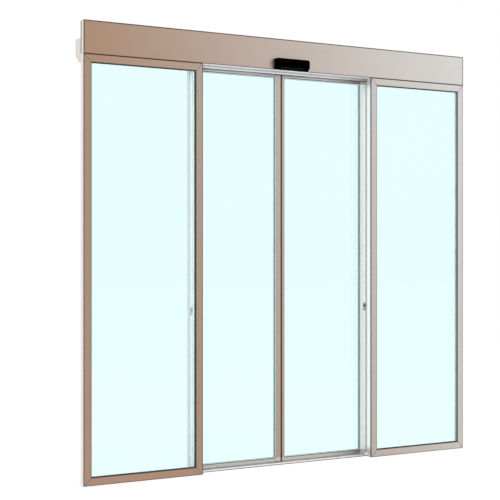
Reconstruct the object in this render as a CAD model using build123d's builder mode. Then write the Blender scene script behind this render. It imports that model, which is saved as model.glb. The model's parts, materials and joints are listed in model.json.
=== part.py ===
"""Automatic sliding door set: two fixed sidelites, two sliding leaves and a header with its track.

Millimetres, +Z up, +X to the right seen from the front, +Y to the back.
The origin lies on the floor, in the middle of the doorway and in the middle plane of the leaves.
"""
import os

from build123d import *

# Whole door set
overall_width = 2440
overall_height = 2300
header_height = 167
sidelite_width = 675

# Fixed sidelite frames: hollow mitred bars with a slot for the glass
frame_face = 40
frame_depth = 40
frame_wall = 2.5
frame_slot_depth = 12
frame_edge_bevel = 2

# Draught fin at the back of each sidelite's inner stile, in front of the leaf
fin_edge_distance = 19
fin_thickness = 2.5
fin_depth = 35

# Glazing, the same in sidelites and leaves
pane_thickness = 10
pane_edge_clearance = 2.5
gasket_thickness = 3
gasket_show = 2
gasket_edge_clearance = 1
gasket_setback = 3

# Sliding leaves
leaf_setback = 90
leaf_depth = 27
leaf_overlap = 32
leaf_floor_gap = 12
leaf_head_rise = 12
leaf_wall = 2
leaf_slot_depth = 7
leaf_edge_bevel = 1.5
outer_stile_face = 42
left_meeting_face = 33
right_meeting_face = 17
top_rail_height = 41
bottom_rail_height = 23

# Rubber seals between the two leaves
meeting_gap = 8.5
seal_clearance = 1
seal_depth = 12
seal_nose_radius = 2

# Lock on the outer stile of each leaf: an upright rounded plate with a profile cylinder set back in it
lock_height = 844
lock_edge_distance = 17
lock_plate_width = 28
lock_plate_height = 44
lock_plate_thickness = 8
lock_edge_bevel = 2
lock_upright_turn = 90
cylinder_radius = 8.5
cylinder_rise = 7
cylinder_tail_width = 10
cylinder_tail_reach = 24
cylinder_recess = 3
keyway_width = 2.4
keyway_length = 9
keyway_depth = 3

# Header: cover, back plate and end caps
cover_wall = 3
cover_edge_bevel = 2.5
header_back_thickness = 4
header_cap_thickness = 6
header_cap_recess = 1

# Track housing behind the header
track_depth = 85
track_height = 85
track_wall = 3
track_inset = 11
track_cap_thickness = 4
track_cap_drop = 36
track_cap_toe = 44
lip_setback = 24
lip_drop = 15
track_edge_bevel = 1.5

# Running rail inside the track housing
ledge_rise = 26
ledge_thickness = 4
ledge_reach = 36
bead_radius = 3
bead_edge_distance = 3

# Roller carriages that carry each leaf
roller_radius = 18
roller_width = 14
roller_rim_clearance = 1
roller_running_clearance = 0.3
# From a right-angled groove's root to the middle of a round bead between its flanks
groove_root_share = 2 ** 0.5
axle_radius = 5
axle_clearance = 0.2
axle_head_radius = 8
axle_head_length = 3
carriage_end_distance = 103
roller_spacing = 76
hanger_width = 120
hanger_thickness = 6
hanger_gap = 3
hanger_foot = 29
hanger_head = 14
hanger_corner_bevel = 10

# Motion sensor on the header: the lower part of its hood slants back, where it looks down
sensor_width = 216
sensor_height = 60
sensor_depth = 30
sensor_slant_height = 19
sensor_foot_depth = 3
sensor_base_thickness = 4
sensor_base_margin = 3
sensor_corner_radius = 11
sensor_edge_bevel = 3

# Threshold on the floor
threshold_setback = 60
threshold_height = 6
threshold_bevel = 3
threshold_foot_gap = 36
floor_bolt_radius = 4.5
floor_bolt_end_distance = 220

# Floor guides in the groove under each leaf
guide_thickness = 5
guide_length = 20
guide_rise = 10
guide_edge_distance = 16
guide_clearance = 5

# Named overrun for cuts that pass right through
overrun = 5

# Places worked out from the sizes above; setbacks are measured from the front plane
half_width = overall_width / 2
doorway_half = half_width - sidelite_width
header_underside = overall_height - header_height
front_y = -(leaf_setback + leaf_depth / 2)
frame_y = front_y + frame_depth / 2
frame_back_y = front_y + frame_depth
leaf_front_y = -leaf_depth / 2
leaf_top = header_underside + leaf_head_rise
leaf_height = leaf_top - leaf_floor_gap
leaf_outer_x = doorway_half + leaf_overlap
leaf_meeting_x = meeting_gap / 2
glass_slot = pane_thickness + 2 * gasket_thickness
track_front_y = frame_back_y
track_back_y = track_front_y + track_depth
track_top = header_underside + track_height
ledge_top = header_underside + ledge_rise + ledge_thickness
bead_y = track_front_y + track_wall + ledge_reach - bead_edge_distance
roller_axis_z = ledge_top + roller_radius
groove_width = guide_thickness + 2 * guide_clearance
groove_height = threshold_height + guide_rise + guide_clearance - leaf_floor_gap
guide_x = doorway_half + guide_edge_distance

os.makedirs("parts", exist_ok=True)


def save(builder, name):
    """Label a finished piece and write its file."""
    builder.part.label = name
    export_step(builder.part, f"parts/{name}.step")


def bar_section(section, face, depth, wall, slot_depth, bevel, hollow=True):
    """Section of a glazing bar: outer edge on the local Y axis, glass slot open at the far edge."""
    with Locations((face / 2, 0)):
        Rectangle(face, depth)
    chamfer(section.vertices(), bevel)
    if hollow:
        chamber = face - slot_depth - 2 * wall
        with Locations((wall + chamber / 2, 0)):
            Rectangle(chamber, depth - 2 * wall, mode=Mode.SUBTRACT)
    with Locations((face - slot_depth / 2, 0)):
        Rectangle(slot_depth, glass_slot, mode=Mode.SUBTRACT)


def upright(x_edge, inward, y, z_low):
    """Plane for a stile's section, with local X from its outer edge to the glass."""
    return Plane(origin=(x_edge, y, z_low), x_dir=(inward, 0, 0), z_dir=(0, 0, 1))


def level(x_low, y, z_edge, inward):
    """Plane for a rail's section, with local X from its outer edge to the glass."""
    return Plane(origin=(x_low, y, z_edge), x_dir=(0, 0, inward), z_dir=(1, 0, 0))


def mitre(x, z, normal_x, normal_z):
    """Cut the bar in work by a mitre through a frame corner, keeping the side of the normal."""
    split(bisect_by=Plane(origin=(x, 0, z), z_dir=(normal_x, 0, normal_z)), keep=Keep.TOP)


def facing(y):
    """Upright plane that faces the front at depth y, with local X to the right and local Y up."""
    return Plane(origin=(0, y, 0), x_dir=(1, 0, 0), z_dir=(0, -1, 0))


def glazing(name, x_low, x_high, z_low, z_high, y, slot_depth, bar_depth):
    """Pane for a clear glass opening, and gaskets that hold it in the slots and line the recess."""
    centre = ((x_low + x_high) / 2, (z_low + z_high) / 2)
    width = x_high - x_low
    height = z_high - z_low
    grip = slot_depth - pane_edge_clearance
    with BuildPart() as pane:
        with BuildSketch(facing(y - pane_thickness / 2)):
            with Locations(centre):
                Rectangle(width + 2 * grip, height + 2 * grip)
        extrude(amount=-pane_thickness)
    save(pane, f"{name}_glass")
    hold = slot_depth - gasket_edge_clearance
    lining = (bar_depth - glass_slot) / 2 - gasket_setback
    with BuildPart() as gasket:
        for outward in (1, -1):
            with BuildSketch(facing(y - outward * pane_thickness / 2)):
                with Locations(centre):
                    Rectangle(width + 2 * hold, height + 2 * hold)
                    Rectangle(width - 2 * gasket_show, height - 2 * gasket_show, mode=Mode.SUBTRACT)
            extrude(amount=outward * gasket_thickness)
            with BuildSketch(facing(y - outward * glass_slot / 2)):
                with Locations(centre):
                    Rectangle(width, height)
                    Rectangle(width - 2 * gasket_show, height - 2 * gasket_show, mode=Mode.SUBTRACT)
            extrude(amount=outward * lining)
    save(gasket, f"{name}_gasket")


def frame_bar(name, plane, length, mitres, fin_side=0):
    """One mitred bar of a sidelite frame; fin_side is where the back lies on local Y, if it has a fin."""
    with BuildPart() as bar:
        with BuildSketch(plane) as section:
            bar_section(section, frame_face, frame_depth, frame_wall, frame_slot_depth, frame_edge_bevel)
            if fin_side:
                with Locations((fin_edge_distance + fin_thickness / 2, fin_side * (frame_depth + fin_depth) / 2)):
                    Rectangle(fin_thickness, fin_depth)
        extrude(amount=length)
        for corner in mitres:
            mitre(*corner)
    save(bar, name)


def sidelite(side, sign):
    """Fixed glazed frame beside the doorway; sign is -1 on the left and 1 on the right."""
    name = f"{side}_sidelite"
    outer_x = sign * half_width
    inner_x = sign * doorway_half
    low_x = min(outer_x, inner_x)
    high_x = max(outer_x, inner_x)
    top = header_underside
    frame_bar(f"{name}_outer_stile", upright(outer_x, -sign, frame_y, 0), top,
              [(outer_x, 0, sign, 1), (outer_x, top, sign, -1)])
    frame_bar(f"{name}_inner_stile", upright(inner_x, sign, frame_y, 0), top,
              [(inner_x, 0, -sign, 1), (inner_x, top, -sign, -1)], fin_side=sign)
    frame_bar(f"{name}_bottom_rail", level(low_x, frame_y, 0, 1), sidelite_width,
              [(low_x, 0, 1, -1), (high_x, 0, -1, -1)])
    frame_bar(f"{name}_top_rail", level(low_x, frame_y, top, -1), sidelite_width,
              [(low_x, top, 1, 1), (high_x, top, -1, 1)])
    glazing(name, low_x + frame_face, high_x - frame_face, frame_face, top - frame_face,
            frame_y, frame_slot_depth, frame_depth)


def leaf_stile(name, x_edge, inward, face):
    """Full-height leaf stile, grooved underneath for the floor guide."""
    with BuildPart() as stile:
        with BuildSketch(upright(x_edge, inward, 0, leaf_floor_gap)) as section:
            bar_section(section, face, leaf_depth, leaf_wall, leaf_slot_depth, leaf_edge_bevel)
        extrude(amount=leaf_height)
        with BuildSketch(Plane.XY.offset(leaf_floor_gap)):
            with Locations((x_edge + inward * face / 2, 0)):
                Rectangle(face + 2 * overrun, groove_width)
        extrude(amount=groove_height, mode=Mode.SUBTRACT)
    save(stile, name)


def leaf_rails(name, x_low, x_high):
    """Top and bottom rails between the stiles of a leaf."""
    length = x_high - x_low
    with BuildPart() as top_rail:
        with BuildSketch(level(x_low, 0, leaf_top, -1)) as section:
            bar_section(section, top_rail_height, leaf_depth, leaf_wall, leaf_slot_depth, leaf_edge_bevel)
        extrude(amount=length)
    save(top_rail, f"{name}_top_rail")
    with BuildPart() as bottom_rail:
        with BuildSketch(level(x_low, 0, leaf_floor_gap, 1)) as section:
            bar_section(section, bottom_rail_height, leaf_depth, leaf_wall, leaf_slot_depth, leaf_edge_bevel,
                        hollow=False)
            with Locations((groove_height / 2, 0)):
                Rectangle(groove_height, groove_width, mode=Mode.SUBTRACT)
        extrude(amount=length)
    save(bottom_rail, f"{name}_bottom_rail")


def meeting_seal(name, x_edge, outward):
    """Rubber strip with a rounded nose on the edge where the leaves meet."""
    reach = (meeting_gap - seal_clearance) / 2
    with BuildPart() as seal:
        with BuildSketch(Plane.XY.offset(leaf_floor_gap)) as section:
            with Locations((x_edge + outward * reach / 2, 0)):
                Rectangle(reach, seal_depth)
            nose = section.vertices().sort_by(Axis.X)
            fillet(nose[-2:] if outward > 0 else nose[:2], seal_nose_radius)
        extrude(amount=leaf_height)
    save(seal, f"{name}_meeting_seal")


def leaf_lock(name, x):
    """Lock: a bevelled upright plate on the stile's front face, with the key cylinder set back in it."""
    plate_front = leaf_front_y - lock_plate_thickness
    cylinder_z = lock_height + cylinder_rise
    tail_radius = cylinder_tail_width / 2
    tail_z = cylinder_z - cylinder_tail_reach + tail_radius
    with BuildPart() as lock:
        with BuildSketch(facing(leaf_front_y)):
            with Locations((x, lock_height)):
                SlotOverall(lock_plate_height, lock_plate_width, rotation=lock_upright_turn)
        extrude(amount=lock_plate_thickness)
        chamfer(lock.faces().sort_by(Axis.Y)[0].edges(), lock_edge_bevel)
        with BuildSketch(facing(plate_front)):
            with Locations((x, cylinder_z)):
                Circle(cylinder_radius)
            with Locations((x, (cylinder_z + tail_z) / 2)):
                Rectangle(cylinder_tail_width, cylinder_z - tail_z)
            with Locations((x, tail_z)):
                Circle(tail_radius)
        extrude(amount=-cylinder_recess, mode=Mode.SUBTRACT)
        with BuildSketch(facing(plate_front + cylinder_recess)):
            with Locations((x, cylinder_z)):
                Rectangle(keyway_width, keyway_length)
        extrude(amount=-keyway_depth, mode=Mode.SUBTRACT)
    save(lock, f"{name}_lock")


def carriages(name, x_low, x_high):
    """Two hanger brackets on the leaf's top edge, each with two grooved rollers on the rail."""
    roller_back = bead_y + roller_width / 2
    plate_front = roller_back + hanger_gap
    hanger_top = roller_axis_z + hanger_head
    places = [x_low + carriage_end_distance, x_high - carriage_end_distance]
    axle_places = [x + offset for x in places for offset in (-roller_spacing / 2, roller_spacing / 2)]
    with BuildPart() as hangers:
        with BuildSketch(facing(plate_front)):
            for x in places:
                with Locations((x, (leaf_top + hanger_top) / 2)):
                    Rectangle(hanger_width, hanger_top - leaf_top)
        extrude(amount=-hanger_thickness)
        chamfer(hangers.edges().filter_by(Axis.Y).group_by(Axis.Z)[-1], hanger_corner_bevel)
        with BuildSketch(Plane.XY.offset(leaf_top)):
            for x in places:
                with Locations((x, plate_front + hanger_foot / 2)):
                    Rectangle(hanger_width, hanger_foot)
        extrude(amount=hanger_thickness)
        with BuildSketch(facing(plate_front)):
            with Locations(*[(x, roller_axis_z) for x in axle_places]):
                Circle(axle_radius)
        extrude(amount=hanger_gap + roller_width + axle_head_length)
        with BuildSketch(facing(bead_y - roller_width / 2 - axle_clearance)):
            with Locations(*[(x, roller_axis_z) for x in axle_places]):
                Circle(axle_head_radius)
        extrude(amount=axle_head_length)
    save(hangers, f"{name}_hangers")
    rim = roller_radius - roller_rim_clearance
    bore = axle_radius + axle_clearance
    root = roller_radius - groove_root_share * (bead_radius + roller_running_clearance)
    side = roller_width / 2
    with BuildPart() as rollers:
        for x in axle_places:
            with BuildSketch(Plane(origin=(x, bead_y, roller_axis_z), x_dir=(0, 1, 0), z_dir=(1, 0, 0))):
                with BuildLine():
                    Polyline((-side, bore), (side, bore), (side, rim), (rim - root, rim), (0, root),
                             (root - rim, rim), (-side, rim), close=True)
                make_face()
            revolve(axis=Axis((x, 0, roller_axis_z), (0, 1, 0)))
    save(rollers, f"{name}_rollers")


def leaf(side, sign, meeting_face):
    """Sliding leaf; sign is -1 on the left and 1 on the right."""
    name = f"{side}_leaf"
    outer_x = sign * leaf_outer_x
    meeting_x = sign * leaf_meeting_x
    outer_inner_x = outer_x - sign * outer_stile_face
    meeting_inner_x = meeting_x + sign * meeting_face
    low_x = min(outer_inner_x, meeting_inner_x)
    high_x = max(outer_inner_x, meeting_inner_x)
    leaf_stile(f"{name}_outer_stile", outer_x, -sign, outer_stile_face)
    leaf_stile(f"{name}_meeting_stile", meeting_x, sign, meeting_face)
    leaf_rails(name, low_x, high_x)
    glazing(name, low_x, high_x, leaf_floor_gap + bottom_rail_height, leaf_top - top_rail_height,
            0, leaf_slot_depth, leaf_depth)
    meeting_seal(name, meeting_x, -sign)
    leaf_lock(name, outer_x - sign * lock_edge_distance)
    carriages(name, min(outer_x, meeting_x), max(outer_x, meeting_x))


def floor_guide(side, sign):
    """Fin on the threshold that runs in the groove under a leaf."""
    with BuildPart() as guide:
        with BuildSketch(Plane.XY.offset(threshold_height)):
            with Locations((sign * guide_x, 0)):
                SlotOverall(guide_length, guide_thickness)
        extrude(amount=guide_rise)
    save(guide, f"{side}_floor_guide")


def header_cap(side, sign):
    """Plate that closes an end of the header between its cover and its back."""
    outer_face = half_width - header_cap_recess
    start = min(sign * outer_face, sign * (outer_face - header_cap_thickness))
    with BuildPart() as cap:
        with BuildSketch(Plane.YZ.offset(start)):
            with Locations(((front_y + cover_wall + frame_back_y - header_back_thickness) / 2,
                            overall_height - header_height / 2)):
                Rectangle(frame_depth - cover_wall - header_back_thickness, header_height - 2 * cover_wall)
        extrude(amount=header_cap_thickness)
    save(cap, f"header_end_cap_{side}")


def track_cap(side, sign):
    """Five-sided plate that closes an end of the track housing and hangs below it in front."""
    outer_face = half_width - track_inset
    start = min(sign * outer_face, sign * (outer_face - track_cap_thickness))
    foot = header_underside - track_cap_drop
    with BuildPart() as cap:
        with BuildSketch(Plane.YZ.offset(start)):
            with BuildLine():
                Polyline((track_front_y, foot), (track_front_y + track_cap_toe, foot),
                         (track_back_y, header_underside), (track_back_y, track_top),
                         (track_front_y, track_top), close=True)
            make_face()
        extrude(amount=track_cap_thickness)
    save(cap, f"track_end_cap_{side}")


# Header cover: a channel with its face to the front
with BuildPart() as header_cover:
    flange_end = frame_back_y - header_back_thickness
    with BuildSketch(Plane.YZ.offset(-half_width)):
        with BuildLine():
            Polyline((front_y, header_underside), (flange_end, header_underside),
                     (flange_end, header_underside + cover_wall),
                     (front_y + cover_wall, header_underside + cover_wall),
                     (front_y + cover_wall, overall_height - cover_wall),
                     (flange_end, overall_height - cover_wall), (flange_end, overall_height),
                     (front_y, overall_height), close=True)
        make_face()
    extrude(amount=overall_width)
    chamfer(header_cover.edges().filter_by(Axis.X).group_by(Axis.Y)[0], cover_edge_bevel)
save(header_cover, "header_cover")

# Header back plate, against the lintel and the track housing
with BuildPart() as header_back:
    with BuildSketch(facing(frame_back_y)):
        with Locations((0, overall_height - header_height / 2)):
            Rectangle(overall_width, header_height)
    extrude(amount=header_back_thickness)
save(header_back, "header_back_plate")

# Track housing: one extrusion with a running rail inside and a lip in front of the leaves
with BuildPart() as track_housing:
    track_length = overall_width - 2 * (track_inset + track_cap_thickness)
    inner_front = track_front_y + track_wall
    inner_back = track_back_y - track_wall
    lip_front = track_front_y + lip_setback
    lip_foot = header_underside - lip_drop
    shelf_top = header_underside + track_wall
    ledge_low = header_underside + ledge_rise
    ledge_end = inner_front + ledge_reach
    with BuildSketch(Plane.YZ.offset(-track_length / 2)):
        with BuildLine():
            Polyline((track_front_y, header_underside + track_edge_bevel),
                     (track_front_y + track_edge_bevel, header_underside), (lip_front, header_underside),
                     (lip_front, lip_foot + track_edge_bevel), (lip_front + track_edge_bevel, lip_foot),
                     (lip_front + track_wall, lip_foot),
                     (lip_front + track_wall, shelf_top), (inner_front, shelf_top),
                     (inner_front, ledge_low), (ledge_end, ledge_low),
                     (ledge_end, ledge_top), (inner_front, ledge_top),
                     (inner_front, track_top - track_wall), (inner_back, track_top - track_wall),
                     (inner_back, header_underside), (track_back_y, header_underside),
                     (track_back_y, track_top), (track_front_y, track_top), close=True)
        make_face()
        with Locations((bead_y, ledge_top)):
            Circle(bead_radius)
    extrude(amount=track_length)
save(track_housing, "track_housing")

# Motion sensor: a base on the header's face and a hood over it
sensor_middle = (0, header_underside + sensor_height / 2)
with BuildPart() as sensor_base:
    with BuildSketch(facing(front_y)):
        with Locations(sensor_middle):
            RectangleRounded(sensor_width - 2 * sensor_base_margin, sensor_height - 2 * sensor_base_margin,
                             sensor_corner_radius - sensor_base_margin)
    extrude(amount=sensor_base_thickness)
save(sensor_base, "sensor_base")
with BuildPart() as sensor_hood:
    hood_back = front_y - sensor_base_thickness
    hood_front = front_y - sensor_depth
    hood_top = header_underside + sensor_height
    with BuildSketch(Plane.YZ.offset(-sensor_width / 2)):
        with BuildLine():
            Polyline((hood_back, header_underside), (hood_back - sensor_foot_depth, header_underside),
                     (hood_front, header_underside + sensor_slant_height), (hood_front, hood_top),
                     (hood_back, hood_top), close=True)
        make_face()
    extrude(amount=sensor_width)
    fillet(sensor_hood.edges().filter_by(Axis.Y).group_by(Axis.Z)[-1], sensor_corner_radius)
    chamfer(sensor_hood.faces().sort_by(Axis.Y)[0].edges(), sensor_edge_bevel)
save(sensor_hood, "sensor_hood")

# Threshold: a low plate under the leaves that widens to the sidelites on both sides
with BuildPart() as threshold:
    strip_front = front_y + threshold_setback
    plate_end = half_width - track_inset
    foot_start = doorway_half + threshold_foot_gap
    with BuildSketch():
        with BuildLine():
            Polyline((-plate_end, track_back_y), (-plate_end, frame_back_y), (-foot_start, frame_back_y),
                     (-foot_start, strip_front), (foot_start, strip_front), (foot_start, frame_back_y),
                     (plate_end, frame_back_y), (plate_end, track_back_y), close=True)
        make_face()
    extrude(amount=threshold_height)
    front_edge = threshold.edges().filter_by(Axis.X).group_by(Axis.Z)[-1].filter_by_position(
        Axis.Y, strip_front - overrun, strip_front + overrun)
    chamfer(front_edge, threshold_bevel)
    bolt_x = half_width - floor_bolt_end_distance
    bolt_y = (frame_back_y + strip_front) / 2
    with Locations((-bolt_x, bolt_y, threshold_height), (bolt_x, bolt_y, threshold_height)):
        Hole(floor_bolt_radius)
save(threshold, "threshold")

for side, sign, meeting_face in (("left", -1, left_meeting_face), ("right", 1, right_meeting_face)):
    sidelite(side, sign)
    leaf(side, sign, meeting_face)
    floor_guide(side, sign)
    header_cap(side, sign)
    track_cap(side, sign)
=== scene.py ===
# %% [markdown]
# # A sliding door set, dressed for its portrait
# The solid model of the door set is loaded first, as a fixed frame in metres: X to the right, Y to the back, Z up,
# with the floor at zero. It could be modelled again in Blender, but then two models would have to be kept alike. So
# the solids stay as they are, get their finishes here, and only small trim is modelled on top of them.

# %% Load the frame
import json
import math

import bpy
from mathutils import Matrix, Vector


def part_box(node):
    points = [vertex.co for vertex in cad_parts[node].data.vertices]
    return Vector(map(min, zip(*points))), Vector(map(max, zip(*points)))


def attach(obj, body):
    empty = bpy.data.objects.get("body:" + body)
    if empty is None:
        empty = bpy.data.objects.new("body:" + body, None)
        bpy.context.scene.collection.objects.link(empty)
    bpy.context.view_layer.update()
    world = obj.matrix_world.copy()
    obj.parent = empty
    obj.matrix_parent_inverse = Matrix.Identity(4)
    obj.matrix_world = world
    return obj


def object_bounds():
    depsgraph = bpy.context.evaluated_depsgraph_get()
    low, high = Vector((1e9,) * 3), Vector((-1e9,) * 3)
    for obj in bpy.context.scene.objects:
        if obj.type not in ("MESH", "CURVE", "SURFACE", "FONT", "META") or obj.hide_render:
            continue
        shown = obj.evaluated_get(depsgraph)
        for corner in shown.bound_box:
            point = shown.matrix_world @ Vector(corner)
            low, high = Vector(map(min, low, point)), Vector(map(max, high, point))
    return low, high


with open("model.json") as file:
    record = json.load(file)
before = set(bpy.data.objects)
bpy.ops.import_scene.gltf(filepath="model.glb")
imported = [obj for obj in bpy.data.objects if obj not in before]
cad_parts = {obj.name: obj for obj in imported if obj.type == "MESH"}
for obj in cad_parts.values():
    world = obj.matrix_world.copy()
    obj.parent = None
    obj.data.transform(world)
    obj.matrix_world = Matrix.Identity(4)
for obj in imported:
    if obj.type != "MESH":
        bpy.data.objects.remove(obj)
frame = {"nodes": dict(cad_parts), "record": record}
cad_low, cad_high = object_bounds()
scene = bpy.context.scene
print("nodes", len(frame["nodes"]), "box", tuple(cad_low), tuple(cad_high))

# %% [markdown]
# ## The camera
# The picture was taken level with the middle of the doors, from the left, with a long lens. A level camera keeps the
# uprights parallel. The place and the lens follow from where the straight edges of the set run in the picture.

# %% Place the camera
CAMERA_PLACE = (-4.002, -6.097, 1.165)
CAMERA_TILT = 90
CAMERA_TURN = -31.99
CAMERA_LENS = 96.03
FILM_WIDTH = 36

camera = bpy.data.objects.new("camera", bpy.data.cameras.new("camera"))
camera.location = CAMERA_PLACE
camera.rotation_euler = (math.radians(CAMERA_TILT), 0, math.radians(CAMERA_TURN))
camera.data.sensor_width = FILM_WIDTH
camera.data.lens = CAMERA_LENS
scene.collection.objects.link(camera)
scene.camera = camera
scene.view_settings.view_transform = "Standard"
print("camera at", CAMERA_PLACE, "lens", CAMERA_LENS)

# %% [markdown]
# ## Helpers for node trees
# A material is a small graph. Written out, each graph would fill a page, so helpers add a node and set its sockets, do
# sums, stretch a range and blend colours. A socket takes either a plain value or another node's output.


# %% Helpers that add and join nodes
def add_node(tree, kind, values=None, **settings):
    node = tree.nodes.new(kind)
    for name, value in settings.items():
        setattr(node, name, value)
    for name, value in (values or {}).items():
        socket = node.inputs[name]
        if isinstance(value, bpy.types.NodeSocket):
            tree.links.new(value, socket)
        else:
            socket.default_value = value
    return node


def calculate(tree, operation, first, second, clamp=False):
    return add_node(tree, "ShaderNodeMath", {0: first, 1: second}, operation=operation, use_clamp=clamp).outputs[0]


def times(tree, first, second):
    return calculate(tree, "MULTIPLY", first, second)


def larger(tree, first, second):
    return calculate(tree, "MAXIMUM", first, second)


def without_sign(tree, value):
    return calculate(tree, "ABSOLUTE", value, 0)


def weigh(tree, share, first, second):
    """The given share of the first value, and the rest from the second."""
    return calculate(tree, "ADD", times(tree, first, share), times(tree, second, 1 - share))


def spread(tree, value, from_low, from_high, to_low=0.0, to_high=1.0):
    values = {"Value": value, "From Min": from_low, "From Max": from_high, "To Min": to_low, "To Max": to_high}
    return add_node(tree, "ShaderNodeMapRange", values).outputs["Result"]


def blend_colours(tree, share, first, second, how="MIX"):
    """Blend two colours. The mix node has its colour sockets at places 6 and 7, and its colour output at 2."""
    return add_node(tree, "ShaderNodeMix", {0: share, 6: first, 7: second}, data_type="RGBA", blend_type=how).outputs[2]


def dim(tree, mask, colour, shares):
    """Take a share of each channel of a colour where the mask is one."""
    return blend_colours(tree, mask, colour, blend_colours(tree, 1.0, colour, shares, "MULTIPLY"))


def coordinates(tree, kind):
    """The X, Y and Z of a point on the set, or of the way that its face looks."""
    return add_node(tree, "ShaderNodeSeparateXYZ", {0: add_node(tree, "ShaderNodeTexCoord").outputs[kind]}).outputs


def tone(red, green, blue):
    """A colour written as on a screen, 0 to 255, turned into the linear values that a shader takes."""
    def linear(level):
        level /= 255
        return level / 12.92 if level <= 0.04045 else ((level + 0.055) / 1.055) ** 2.4
    return (linear(red), linear(green), linear(blue), 1.0)


WHITE = tone(255, 255, 255)
print("helpers ready")

# %% [markdown]
# ## Studio light
# The set stands in a white studio. More lamp light would bleach the metal, so the white comes from the world itself:
# rays that come straight from the camera, from a gloss or through the glass see plain white, and all other rays see
# a dimmer grey that lights the set softly. The floor is made the same way and keeps a faint shadow.

# %% World and floor
AMBIENT = 0.72
FLOOR_SIZE = 60
FLOOR_GREY = (0.9, 0.9, 0.9, 1)
FLOOR_GLOW = 1.05
FLOOR_GLOW_SHARE = 0.9
FLOOR_BOUNCE_SHARE = 0.42


def seen_rays(tree):
    """One for rays from the camera, from a gloss or through glass, and nought for all others."""
    path = add_node(tree, "ShaderNodeLightPath").outputs
    return larger(tree, larger(tree, path["Is Camera Ray"], path["Is Glossy Ray"]), path["Is Transmission Ray"])


world = bpy.data.worlds.new("studio")
world.use_nodes = True
scene.world = world
tree = world.node_tree
backdrop = tree.nodes["Background"]
backdrop.inputs["Color"].default_value = WHITE
tree.links.new(spread(tree, seen_rays(tree), 0, 1, AMBIENT, 1.0), backdrop.inputs["Strength"])

bpy.ops.object.select_all(action="DESELECT")
bpy.ops.mesh.primitive_plane_add(size=FLOOR_SIZE, location=(0, 0, cad_low.z))
floor = bpy.context.object
floor.name = "studio_floor"
white_floor = bpy.data.materials.new("studio_floor")
white_floor.use_nodes = True
tree = white_floor.node_tree
tree.nodes.clear()
matt = add_node(tree, "ShaderNodeBsdfDiffuse", {"Color": FLOOR_GREY})
glow = add_node(tree, "ShaderNodeEmission", {"Color": WHITE, "Strength": FLOOR_GLOW})
glow_share = spread(tree, seen_rays(tree), 0, 1, FLOOR_BOUNCE_SHARE, FLOOR_GLOW_SHARE)
mixed = add_node(tree, "ShaderNodeMixShader", {0: glow_share, 1: matt.outputs[0], 2: glow.outputs[0]})
add_node(tree, "ShaderNodeOutputMaterial", {"Surface": mixed.outputs[0]})
floor.data.materials.append(white_floor)
print("world and", floor.name)

# %% [markdown]
# Three soft lamps shape the set: a key from the left, a weaker fill from the right and one from behind. A sun would
# be quicker, but its hard shadows aren't in the picture. The lamps hide from glosses, so no lamp shows in the metal.

# %% Lamps
LAMP_AIM = Vector((0, 0, 1.1))
LAMP_SIZE = 3.4
LAMPS = {
    "key_softbox": ((-4.6, -6.0, 2.4), 230),
    "fill_softbox": ((5.0, -3.0, 3.2), 60),
    "back_softbox": ((0.5, 5.0, 4.0), 55),
}
for name, (place, power) in LAMPS.items():
    lamp = bpy.data.lights.new(name, "AREA")
    lamp.size = LAMP_SIZE
    lamp.energy = power
    holder = bpy.data.objects.new(name, lamp)
    holder.location = place
    holder.visible_camera = holder.visible_glossy = holder.visible_transmission = False
    holder.rotation_euler = (LAMP_AIM - Vector(place)).to_track_quat("-Z", "Y").to_euler()
    scene.collection.objects.link(holder)
print("studio with", len(LAMPS), "lamps")

# %% [markdown]
# ## Shared surface effects
# Drawn aluminium shows faint lines along the bar from the die it was pressed through, and a fine speckle from the
# etching bath. Both are used by several finishes, so they are one node group. Noise stretched a hundred times along
# the bar makes the lines, and the bar's direction is an input.

# %% The drawn-metal group
LINES_UP = (420.0, 420.0, 2.5)
LINES_ACROSS = (2.5, 420.0, 420.0)
LINES_ROUND = (300.0, 300.0, 300.0)
SPECKLE_SCALE = 900.0
CLOUD_SCALE = 3.0
LINE_SHARE = 0.7
FINE_SHARE = 0.6


def new_group(name, inputs, outputs):
    group = bpy.data.node_groups.new(name, "ShaderNodeTree")
    for label, kind, value in inputs:
        group.interface.new_socket(label, in_out="INPUT", socket_type=kind).default_value = value
    for label in outputs:
        group.interface.new_socket(label, in_out="OUTPUT", socket_type="NodeSocketFloat")
    return group, group.nodes.new("NodeGroupInput").outputs, group.nodes.new("NodeGroupOutput").inputs


drawn_metal, given, result = new_group(
    "drawn_metal",
    [("Line Scale", "NodeSocketVector", LINES_UP), ("Speckle Scale", "NodeSocketFloat", SPECKLE_SCALE)],
    ["Tone", "Height"])
place = add_node(drawn_metal, "ShaderNodeTexCoord").outputs["Object"]
lines_at = add_node(drawn_metal, "ShaderNodeMapping", {"Vector": place, "Scale": given["Line Scale"]})
lines = add_node(drawn_metal, "ShaderNodeTexNoise",
                 {"Vector": lines_at.outputs[0], "Scale": 1.0, "Detail": 2.0, "Roughness": 0.5})
speckle = add_node(drawn_metal, "ShaderNodeTexNoise",
                   {"Vector": place, "Scale": given["Speckle Scale"], "Detail": 1.0})
cloud = add_node(drawn_metal, "ShaderNodeTexNoise", {"Vector": place, "Scale": CLOUD_SCALE, "Detail": 2.0})
height = weigh(drawn_metal, LINE_SHARE, lines.outputs[0], speckle.outputs[0])
drawn_metal.links.new(weigh(drawn_metal, FINE_SHARE, height, cloud.outputs[0]), result["Tone"])
drawn_metal.links.new(height, result["Height"])
print("group", drawn_metal.name)
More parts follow.
